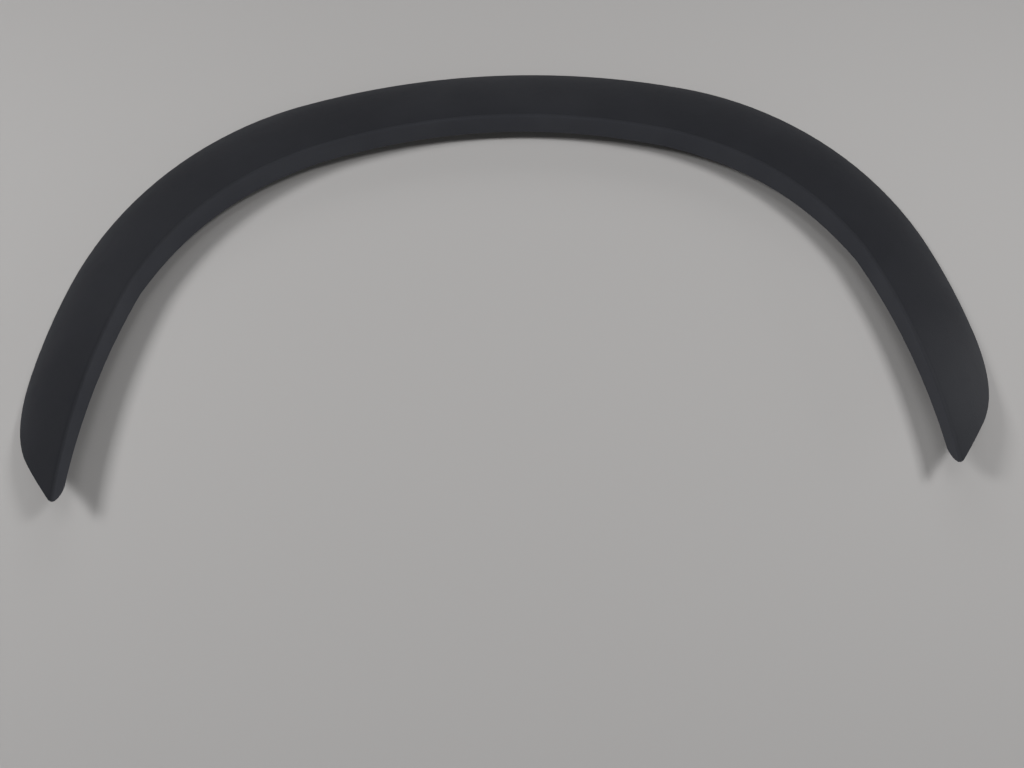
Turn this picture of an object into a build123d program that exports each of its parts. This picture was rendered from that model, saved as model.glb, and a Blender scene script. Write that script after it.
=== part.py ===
from build123d import *
import os
from math import asin, atan2, copysign, cos, degrees, hypot, radians, sin, tan

# Wheel arch trim: one injection moulding in black plastic that covers the edge of a wheel opening.
# It lies face up: X across the arch, +Y towards its crown, +Z away from the side of the car.
# The origin is in the middle of its outline, on the plane that the outer edge lies on.
# Lengths are millimetres and angles are degrees. A heading is the angle that the outer edge has
# turned through since the crown, so it is 0 at the crown and 90 where a leg points straight down.
# Headings to the left of the crown are negative.

# Outer edge, seen from above; the width is between the legs, before their ends bend in
arch_width = 900.0
crown_radius = 725.0
shoulder_radius = 323.0
leg_radius = 590.0
shoulder_end_heading = 75.0
tip_heading = 99.4
end_edge_heading = 131.0
end_bend_radius = 135.0
tip_radius = 2.5

# Face, from the outer edge up to the crest beside the wheel opening; it is narrower over the crown
wall = 2.8
crest_height = 36.0
crest_slope = 6.0
crest_radius = 3.0
edge_height = 2.0
face_width = 96.5
face_width_tip = 61.5
crown_narrowing = 5.7
narrowing_end_heading = 30.0

# Return flange, from the crest down into the wheel opening; its ends curve up to the tips
flange_depth_crown = 24.0
flange_depth_tip = 13.0
flange_draft = 4.0
flange_end_slope = 55.0
flange_end_turn = 45.0
flange_end_radius = 28.0

# Clip towers behind the face, in mirrored pairs, each with a keyhole for the neck of a push-in clip
clip_headings = (7.0, 27.0, 58.0, 83.0)
clip_inset = 44.0
clip_hole_radius = 4.2
keyhole_width = 5.6
tower_depth = 20.0
tower_length = 22.0
tower_wall = 2.0
seat_height = 6.0
seat_thickness = 2.5

# The skin is lofted larger than the finished outline all round, and is then trimmed to it
trim_margin = 8.0
overrun = 6.0
steps_per_loft = 4

# The crown arc turns as far as the width leaves for it
leg_reach = arch_width / 2 - leg_radius
shoulder_reach = (leg_radius - shoulder_radius) * sin(radians(shoulder_end_heading))
crown_end_heading = degrees(asin((leg_reach + shoulder_reach) / (crown_radius - shoulder_radius)))
skin_end_heading = tip_heading + overrun


def drop(radius, start, end):
    """How far an arc of the outer edge comes down between two headings."""
    return radius * (cos(radians(start)) - cos(radians(end)))


edge_drop = (
    drop(crown_radius, 0.0, crown_end_heading)
    + drop(shoulder_radius, crown_end_heading, shoulder_end_heading)
    + drop(leg_radius, shoulder_end_heading, tip_heading)
)
past_end = Vector(sin(radians(end_edge_heading)), cos(radians(end_edge_heading)))
along_end = Vector(-past_end.Y, past_end.X)
tip_trim = tip_radius * (2 * along_end.Y - past_end.Y - 1)
overall_height = edge_drop + face_width_tip * cos(radians(tip_heading)) - tip_trim

with BuildLine() as outer_edge:
    crown = JernArc((0, overall_height / 2), (1, 0), crown_radius, -crown_end_heading)
    shoulder = JernArc(crown @ 1, crown % 1, shoulder_radius, crown_end_heading - shoulder_end_heading)
    leg = JernArc(shoulder @ 1, shoulder % 1, leg_radius, shoulder_end_heading - skin_end_heading)

arc_spans = (
    (crown, 0.0, crown_end_heading),
    (shoulder, crown_end_heading, shoulder_end_heading),
    (leg, shoulder_end_heading, skin_end_heading),
)


class Station:
    """A cross section square to the outer edge, at a heading."""

    def __init__(self, heading):
        side = copysign(1, heading)
        turned = abs(heading)
        arc, start, end = next((span for span in arc_spans if turned < span[2]), arc_spans[-1])
        along = (turned - start) / (end - start)
        point, run = arc @ along, arc % along
        taper = turned / tip_heading
        narrowing = cos(radians(90 * min(turned / narrowing_end_heading, 1))) ** 2
        self.edge = Vector(side * point.X, point.Y)
        self.inward = Vector(side * run.Y, -run.X)
        self.face_width = face_width - (face_width - face_width_tip) * taper**3 - crown_narrowing * narrowing
        self.flange_depth = flange_depth_crown - (flange_depth_crown - flange_depth_tip) * taper**5
        self.crest = self.edge + self.inward * self.face_width
        self.plane = Plane(self.edge, x_dir=self.inward, z_dir=self.inward.cross(Vector(0, 0, 1)))

    def face_arc(self):
        """The face from the crest out past the outer edge: an arc that flattens towards the crest."""
        rise = crest_height - edge_height
        half_turn = degrees(atan2(rise, self.face_width)) - crest_slope
        radius = hypot(rise, self.face_width) / (2 * sin(radians(half_turn)))
        outwards = (-cos(radians(crest_slope)), -sin(radians(crest_slope)))
        turn = 2 * half_turn + degrees(trim_margin / radius)
        return JernArc((self.face_width, crest_height), outwards, radius, turn)

    def wall_section(self):
        """The wall of the face and of the return flange, with its crest rounded."""
        with BuildSketch(self.plane) as section:
            with BuildLine():
                foot_x = self.face_width + self.flange_depth * tan(radians(flange_draft))
                Line((foot_x, crest_height - self.flange_depth), (self.face_width, crest_height))
                self.face_arc()
                offset(amount=wall, side=Side.LEFT, kind=Kind.INTERSECTION)
            make_face()
            fillet(section.vertices().sort_by(Axis.Y)[-1], crest_radius)
        return section.sketch

    def space_behind(self):
        """The space behind the face, up to the middle of its wall."""
        with BuildSketch(self.plane) as section:
            with BuildLine():
                face = offset(self.face_arc(), amount=wall / 2, side=Side.LEFT, closed=False)
                crest_end, edge_end = face @ 0, face @ 1
                Polyline(crest_end, (crest_end.X, -trim_margin), (edge_end.X, -trim_margin), edge_end)
            make_face()
        return section.sketch


def loft_along_edge(section):
    """One loft for each arc of the outer edge, from the left end over the crown to the right end."""
    turns = (crown_end_heading, shoulder_end_heading, skin_end_heading)
    bounds = [-turn for turn in reversed(turns)] + list(turns)
    for start, end in zip(bounds, bounds[1:]):
        steps = [start + (end - start) * step / steps_per_loft for step in range(steps_per_loft + 1)]
        loft([section(Station(heading)) for heading in steps])


# Finished outline: the outer edge, cut off along the straight end edges, with the corners bent in.
# The space between the legs is taken out, square to the end edges, so that the tips can be rounded.
with BuildSketch() as outline:
    with BuildLine():
        add(outer_edge.line)
        Line(leg @ 1, (0, (leg @ 1).Y))
        mirror(about=Plane.YZ)
    make_face()
    for side in (1, -1):
        end_plane = Plane(Station(side * tip_heading).crest, z_dir=(side * past_end.X, past_end.Y))
        split(bisect_by=end_plane, keep=Keep.BOTTOM)
    corners = outline.vertices().sort_by(Axis.X)
    fillet([corners[0], corners[-1]], end_bend_radius)
    tip = Station(tip_heading).crest + along_end * tip_radius
    far = tip + past_end * arch_width
    space_top = tip.Y - tip.X * past_end.Y / past_end.X
    Polygon((0, space_top), (far.X, far.Y), (-far.X, far.Y), align=None, mode=Mode.SUBTRACT)
    fillet(outline.vertices().sort_by(Axis.Y)[:2], tip_radius)

# The channel behind the face, which the towers are trimmed to
with BuildPart() as channel:
    loft_along_edge(Station.space_behind)

# Clip towers: three walls and a seat each, open towards the crest, where the clip slides in
clip_stations = [Station(side * heading) for heading in clip_headings for side in (1, -1)]
clip_seats = [
    Plane(
        station.edge + station.inward * clip_inset + Vector(0, 0, seat_height),
        x_dir=station.inward,
        z_dir=(0, 0, 1),
    )
    for station in clip_stations
]
with BuildPart() as clip_towers:
    with BuildSketch(*clip_seats):
        Rectangle(tower_depth, tower_length)
    extrude(amount=crest_height)
    with BuildSketch(*[seat.offset(seat_thickness) for seat in clip_seats]):
        with Locations((tower_wall, 0)):
            Rectangle(tower_depth, tower_length - 2 * tower_wall)
    extrude(amount=crest_height, mode=Mode.SUBTRACT)
    with BuildSketch(*clip_seats):
        Circle(clip_hole_radius)
        with Locations((tower_depth / 2, 0)):
            Rectangle(tower_depth, keyhole_width)
    extrude(amount=seat_thickness, mode=Mode.SUBTRACT)
    add(channel.part, mode=Mode.INTERSECT)

# The moulding: the trimmed skin with its towers
with BuildPart() as arch_moulding:
    loft_along_edge(Station.wall_section)
    extrude(outline.sketch, amount=crest_height + trim_margin, mode=Mode.INTERSECT)
    for side in (1, -1):
        end = Station(side * tip_heading)
        back = (Station(side * (tip_heading - overrun)).crest - end.crest).normalized()
        with BuildSketch(Plane(end.crest, x_dir=back, z_dir=back.cross(Vector(0, 0, 1)))):
            with BuildLine():
                downwards = (cos(radians(flange_end_slope)), -sin(radians(flange_end_slope)))
                curve = JernArc((tip_radius, crest_height - wall), downwards, flange_end_radius, flange_end_turn)
                foot = ((curve @ 1).X, 0)
                Polyline(curve @ 1, foot, (-trim_margin, 0), (-trim_margin, crest_height - wall), curve @ 0)
            make_face()
        extrude(amount=2 * wall, both=True, mode=Mode.SUBTRACT)
    add(clip_towers.part)
arch_moulding.part.label = "arch_moulding"

os.makedirs("parts", exist_ok=True)
export_step(arch_moulding.part, "parts/arch_moulding.step")
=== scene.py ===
from math import radians

import bpy
from mathutils import Matrix, Vector


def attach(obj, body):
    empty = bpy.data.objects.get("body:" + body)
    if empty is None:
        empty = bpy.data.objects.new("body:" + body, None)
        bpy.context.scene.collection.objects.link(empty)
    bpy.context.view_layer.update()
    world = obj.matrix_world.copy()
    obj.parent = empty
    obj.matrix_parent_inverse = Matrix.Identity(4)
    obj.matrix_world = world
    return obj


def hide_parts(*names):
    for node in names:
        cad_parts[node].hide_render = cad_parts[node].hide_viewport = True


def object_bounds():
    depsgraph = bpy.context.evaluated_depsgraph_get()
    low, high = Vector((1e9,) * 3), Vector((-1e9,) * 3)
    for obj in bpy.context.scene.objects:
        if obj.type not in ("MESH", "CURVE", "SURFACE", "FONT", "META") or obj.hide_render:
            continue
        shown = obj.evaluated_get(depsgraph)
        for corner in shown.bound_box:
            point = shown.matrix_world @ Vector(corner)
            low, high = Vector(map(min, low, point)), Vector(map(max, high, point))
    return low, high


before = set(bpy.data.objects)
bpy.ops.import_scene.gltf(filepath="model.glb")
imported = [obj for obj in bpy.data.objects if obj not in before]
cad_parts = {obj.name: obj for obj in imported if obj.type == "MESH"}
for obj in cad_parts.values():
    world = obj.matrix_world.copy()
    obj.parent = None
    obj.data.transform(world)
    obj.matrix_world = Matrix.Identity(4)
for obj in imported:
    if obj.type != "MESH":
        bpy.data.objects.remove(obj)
cad_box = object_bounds()


# Arch moulding: the whole trim is one injection moulding in black thermoplastic, coloured right
# through. The mould gives its face a fine grain, and its flange and back come out plain and smoother.
# Push-in clips slide into the eight towers on the back and hold it to the body panel.

merge_distance = 1e-5
smooth_angle = radians(32)

moulding = bpy.data.objects.new("moulding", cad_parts["arch_moulding"].data.copy())
bpy.context.scene.collection.objects.link(moulding)
bpy.ops.object.select_all(action="DESELECT")
moulding.select_set(True)
bpy.context.view_layer.objects.active = moulding
bpy.ops.object.mode_set(mode="EDIT")
bpy.ops.mesh.select_all(action="SELECT")
bpy.ops.mesh.remove_doubles(threshold=merge_distance)
bpy.ops.object.mode_set(mode="OBJECT")
bpy.ops.mesh.customdata_custom_splitnormals_clear()
bpy.ops.object.shade_smooth_by_angle(angle=smooth_angle)

# How steep the surface is as the trim lies here: 0 where it is level and 1 where it is upright.
# The back, which has other plastic above it, counts as 1 all over.
# Steep places take the paler plain colour, which is partly the smoother finish and partly painted sheen
# from the floor.
clearance = 0.0002
steepness = moulding.data.attributes.new("steepness", "FLOAT", "CORNER")
for facet in moulding.data.polygons:
    covered = moulding.ray_cast(facet.center + facet.normal * clearance, (0, 0, 1))[0]
    for corner in facet.loop_indices:
        upwards = 0.0 if covered else max(moulding.data.corner_normals[corner].vector.z, 0.0)
        steepness.data[corner].value = 1.0 - upwards


class Socket:
    """A socket of a node tree; sums and products of sockets and numbers add the Math nodes they need."""

    def __init__(self, socket):
        self.socket = socket
        self.tree = socket.id_data

    def node(self, kind, settings, inputs, output=0):
        """Adds a node to the same tree, sets it up, fills its sockets and gives one of its outputs."""
        made = self.tree.nodes.new(kind)
        for name, setting in settings.items():
            setattr(made, name, setting)
        for name, value in inputs.items():
            if isinstance(value, Socket):
                self.tree.links.new(value.socket, made.inputs[name])
            else:
                made.inputs[name].default_value = value
        return Socket(made.outputs[output])

    def math(self, operation, first, second):
        return self.node("ShaderNodeMath", {"operation": operation}, {0: first, 1: second})

    def __add__(self, other):
        return self.math("ADD", self, other)

    def __radd__(self, other):
        return self.math("ADD", other, self)

    def __sub__(self, other):
        return self.math("SUBTRACT", self, other)

    def __rsub__(self, other):
        return self.math("SUBTRACT", other, self)

    def __mul__(self, other):
        return self.math("MULTIPLY", self, other)

    def __rmul__(self, other):
        return self.math("MULTIPLY", other, self)

    def noise(self, scale, detail=2.0):
        """Soft clouds in the object's own space, around one half."""
        return self.node("ShaderNodeTexNoise", {}, {"Vector": self, "Scale": scale, "Detail": detail})

    def distance(self, point):
        """How far this place is from a point."""
        settings = {"operation": "DISTANCE"}
        return self.node("ShaderNodeVectorMath", settings, {0: self, 1: point}, output="Value")

    def rise(self, low, high):
        """0 up to low, 1 from high on, and a smooth rise between them."""
        settings = {"interpolation_type": "SMOOTHSTEP"}
        return self.node("ShaderNodeMapRange", settings, {"Value": self, "From Min": low, "From Max": high})

    def blend(self, start, end):
        """A colour that goes from one to the other as this socket goes from 0 to 1."""
        settings = {"data_type": "RGBA"}
        return self.node("ShaderNodeMix", settings, {"Factor": self, 6: start, 7: end}, output=2)


def new_finish(name):
    """A new material and its shader."""
    material = bpy.data.materials.new(name)
    material.use_nodes = True
    return material, material.node_tree.nodes["Principled BSDF"]


def link(shader, name, value):
    """Feeds a worked-out value to one of a shader's sockets."""
    shader.id_data.links.new(value.socket, shader.inputs[name])


# The grain fades out on the steep flange, which leaves the mould sideways, and the back has none.
# Steep places take a paler plain black, partly for the smoother finish and partly as painted sheen.
# The face is matt and a little dusty. Its crest and the strip by its outer edge are painted paler, partly
# rubbing and partly painted highlight and sheen, and a patch at the right end is painted sheen.
face_black = (0.0094, 0.0101, 0.0133, 1.0)
face_dusty = (0.0142, 0.0151, 0.0190, 1.0)
# Paler black for steep places: partly the smoother ungrained finish, partly painted sheen on the upright
# flange.
plain_black_and_sheen = (0.0410, 0.0434, 0.0520, 1.0)
plain_cloudy_and_sheen = (0.0478, 0.0504, 0.0594, 1.0)
# Paler grey for the painted highlight and sheen, with some rubbing
rub_and_sheen_grey = (0.0560, 0.0580, 0.0640, 1.0)
face_roughness = 0.76
plastic_shine = 0.17
plain_steepness = 0.9
pit_scale = 900.0
fine_grain_scale = 1600.0
grain_depth = 0.00012
grain_strength = 0.5
crest_height = cad_box[1][2]
# Painted highlight along the crest, with some rubbing
crest_highlight_depth = 0.004
crest_highlight_weight = 0.15
# Painted sheen on the low strip beside the outer edge, with some rubbing
edge_sheen_height = 0.018
edge_sheen_weight = 0.15
# Painted sheen: a paler patch on the right end, where a low light on the right glances off the face
sheen_end_centre = (0.437, -0.185, 0.012)
sheen_end_reach = 0.12
sheen_end_weight = 0.4

plastic, shader = new_finish("grained_black_plastic")
place = Socket(shader.inputs["Normal"]).node("ShaderNodeTexCoord", {}, {}, output="Object")
height = place.node("ShaderNodeSeparateXYZ", {}, {"Vector": place}, output="Z")
slope = place.node("ShaderNodeAttribute", {"attribute_name": "steepness"}, {}, output="Fac")
steep = slope.rise(0.0, plain_steepness)

# Clouds of handling and dust on the face, and of the plastic's flow on the flange and back
handled = place.noise(scale=7.0, detail=3.0).rise(0.35, 0.7)
dust = place.noise(scale=55.0, detail=4.0).rise(0.45, 0.75)
flow = place.noise(scale=14.0, detail=3.0).rise(0.3, 0.7)

# Paler places, on the face only: a painted highlight along the crest and painted sheen by the outer edge,
# both with some rubbing, and painted sheen at the right end
crest_highlight_rub = height.rise(crest_height - crest_highlight_depth, crest_height) * slope.rise(0.02, 0.2)
# Painted sheen by the outer edge, broken into patches
edge_patches = 0.5 + 0.5 * place.noise(scale=18.0).rise(0.3, 0.8)
edge_sheen_rub = (1.0 - height.rise(0.0, edge_sheen_height)) * edge_patches
# Painted sheen at the right end
painted_end_sheen = 1.0 - place.distance(sheen_end_centre).rise(0.0, sheen_end_reach)
rub_and_sheen = (1.0 - steep) * (crest_highlight_weight * crest_highlight_rub + edge_sheen_weight * edge_sheen_rub + sheen_end_weight * painted_end_sheen)

# Grain: shallow pits about a millimetre apart, with a finer roughness over them
pits = place.node("ShaderNodeTexVoronoi", {}, {"Vector": place, "Scale": pit_scale}).rise(0.1, 0.7)
grain = (1.0 - 0.85 * steep) * (0.7 * pits + 0.3 * place.noise(fine_grain_scale))
relief = {"Strength": grain_strength, "Distance": grain_depth, "Height": grain}

face_colour = (0.6 * handled + 0.4 * dust).blend(face_black, face_dusty)
# Upright places get the paler plain black: partly the smoother finish, partly painted sheen from the floor.
colour = steep.blend(face_colour, flow.blend(plain_black_and_sheen, plain_cloudy_and_sheen))
# The paler grey lays the painted highlight and sheen over some rubbing
link(shader, "Base Color", rub_and_sheen.blend(colour, rub_and_sheen_grey))
link(shader, "Roughness", face_roughness + 0.07 * dust - 0.05 * handled - 0.1 * rub_and_sheen - 0.2 * steep)
link(shader, "Normal", place.node("ShaderNodeBump", {}, relief))
shader.inputs["Specular IOR Level"].default_value = plastic_shine
moulding.data.materials.clear()
moulding.data.materials.append(plastic)
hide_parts("arch_moulding")
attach(moulding, "root")


# Floor: a plain pale sheet that is laid flat, just under the outer edge that the trim lies on.
# It is matt, so that it shows the trim's soft shadow and no reflections.

floor_size = 2.8
floor_gap = 0.0002
floor_colour = (0.430, 0.421, 0.416, 1.0)
floor_roughness = 0.9
floor_shine = 0.1

bpy.ops.object.select_all(action="DESELECT")
bpy.ops.mesh.primitive_plane_add(size=floor_size, location=(0, 0, cad_box[0][2] - floor_gap))
floor = bpy.context.active_object
floor.name = "floor"
pale, shader = new_finish("pale_floor")
shader.inputs["Base Color"].default_value = floor_colour
shader.inputs["Roughness"].default_value = floor_roughness
shader.inputs["Specular IOR Level"].default_value = floor_shine
floor.data.materials.append(pale)


# Light: a soft lamp on each side and one overhead, with wide panels in front, behind and low on the right.
# The room is dim, but the camera and reflections see it about as pale as the floor.

room_tint = (1.0, 0.985, 0.97, 1.0)
room_light = 0.03
room_paleness = 0.35


def soft_lamp(name, place, width, height, watts):
    """A rectangular lamp that points at the middle of the floor and that the camera doesn't see."""
    lamp = bpy.data.lights.new(name, "AREA")
    lamp.shape = "RECTANGLE"
    lamp.size = width
    lamp.size_y = height
    lamp.energy = watts
    stand = bpy.data.objects.new(name, lamp)
    stand.location = place
    stand.rotation_euler = (-Vector(place)).to_track_quat("-Z", "Y").to_euler()
    stand.visible_camera = False
    bpy.context.scene.collection.objects.link(stand)


soft_lamp("lamp_left", (-1.32, 0.0, 1.3), width=0.45, height=0.45, watts=16.5)
soft_lamp("lamp_right", (0.93, -0.05, 1.2), width=0.35, height=0.35, watts=9.0)
soft_lamp("lamp_overhead", (0.0, 0.2, 2.2), width=1.2, height=1.2, watts=6.5)
soft_lamp("panel_front", (0.0, -2.2, 0.9), width=3.2, height=1.2, watts=9.0)
soft_lamp("panel_back", (0.0, 2.2, 1.2), width=2.0, height=1.0, watts=9.5)
soft_lamp("panel_right", (2.6, -0.3, 0.5), width=2.5, height=0.8, watts=10.0)

room = bpy.data.worlds.new("room")
room.use_nodes = True
background = room.node_tree.nodes["Background"]
background.inputs["Color"].default_value = room_tint
strength = Socket(background.inputs["Strength"])
camera_ray = strength.node("ShaderNodeLightPath", {}, {}, output="Is Camera Ray")
glossy_ray = strength.node("ShaderNodeLightPath", {}, {}, output="Is Glossy Ray")
clear_ray = strength.node("ShaderNodeLightPath", {}, {}, output="Is Transmission Ray")
link(background, "Strength", room_light + room_paleness * (camera_ray + glossy_ray + clear_ray))
bpy.context.scene.world = room


# Camera: held above the open end of the arch, looking down at it with a slight turn.
# Its place, turn and lens are fitted to the trim's outline in the photograph.

camera_place = Vector((0.0152, -0.4591, 0.6779))
camera_target = Vector((0.0097, -0.1405, 0.0))
camera_roll = radians(3.45)
camera_lens = 28.17
camera_sensor_width = 36.0

camera = bpy.data.cameras.new("camera")
camera.lens = camera_lens
camera.sensor_width = camera_sensor_width
viewer = bpy.data.objects.new("camera", camera)
aim = (camera_target - camera_place).to_track_quat("-Z", "Y").to_matrix().to_4x4()
viewer.matrix_world = Matrix.Translation(camera_place) @ aim @ Matrix.Rotation(-camera_roll, 4, "Z")
bpy.context.scene.collection.objects.link(viewer)
bpy.context.scene.camera = viewer
bpy.context.scene.view_settings.view_transform = "Standard"
